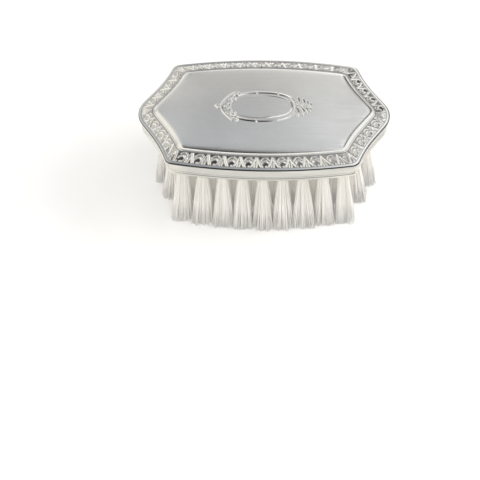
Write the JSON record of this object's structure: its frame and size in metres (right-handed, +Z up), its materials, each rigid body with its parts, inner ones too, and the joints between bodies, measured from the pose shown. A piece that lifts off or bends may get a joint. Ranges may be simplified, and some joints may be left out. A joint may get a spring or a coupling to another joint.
{
  "type": "vanity hairbrush",
  "caption": "Handle-less vanity hairbrush with a domed silver back, an ornamental border, a side band and soft white tufts it stands on.",
  "frame": {"origin": "on the surface the brush stands on, under its centre", "axes": "+X along the brush, +Y across it, +Z up through the silver back"},
  "size_m": [0.09, 0.0532, 0.0403],
  "materials": {
    "silver_satin": "silver, satin-brushed on the panel and oxidised in the border's recesses",
    "silver_polished": "silver, mirror-polished",
    "setting_cement": "matt setting cement",
    "block": "off-white moulded plastic",
    "wire": "drawn brass wire",
    "bristle": "soft white nylon filaments"
  },
  "bodies": {
    "root": {"back_plate": "silver_satin", "side_band": "silver_polished", "setting_cement": "setting_cement", "bristle_block": "block", "drawing_wire_row_1": "wire", "drawing_wire_row_2": "wire", "drawing_wire_row_3": "wire", "drawing_wire_row_4": "wire", "drawing_wire_row_5": "wire", "tuft_row_1_1": "bristle", "tuft_row_1_2": "bristle", "tuft_row_1_3": "bristle", "tuft_row_1_4": "bristle", "tuft_row_1_5": "bristle", "tuft_row_1_6": "bristle", "tuft_row_1_7": "bristle", "tuft_row_1_8": "bristle", "tuft_row_1_9": "bristle", "tuft_row_2_1": "bristle", "tuft_row_2_2": "bristle", "tuft_row_2_3": "bristle", "tuft_row_2_4": "bristle", "tuft_row_2_5": "bristle", "tuft_row_2_6": "bristle", "tuft_row_2_7": "bristle", "tuft_row_2_8": "bristle", "tuft_row_2_9": "bristle", "tuft_row_2_10": "bristle", "tuft_row_3_1": "bristle", "tuft_row_3_2": "bristle", "tuft_row_3_3": "bristle", "tuft_row_3_4": "bristle", "tuft_row_3_5": "bristle", "tuft_row_3_6": "bristle", "tuft_row_3_7": "bristle", "tuft_row_3_8": "bristle", "tuft_row_3_9": "bristle", "tuft_row_3_10": "bristle", "tuft_row_3_11": "bristle", "tuft_row_4_1": "bristle", "tuft_row_4_2": "bristle", "tuft_row_4_3": "bristle", "tuft_row_4_4": "bristle", "tuft_row_4_5": "bristle", "tuft_row_4_6": "bristle", "tuft_row_4_7": "bristle", "tuft_row_4_8": "bristle", "tuft_row_4_9": "bristle", "tuft_row_4_10": "bristle", "tuft_row_5_1": "bristle", "tuft_row_5_2": "bristle", "tuft_row_5_3": "bristle", "tuft_row_5_4": "bristle", "tuft_row_5_5": "bristle", "tuft_row_5_6": "bristle", "tuft_row_5_7": "bristle", "tuft_row_5_8": "bristle", "tuft_row_5_9": "bristle"}
  },
  "joints": []
}
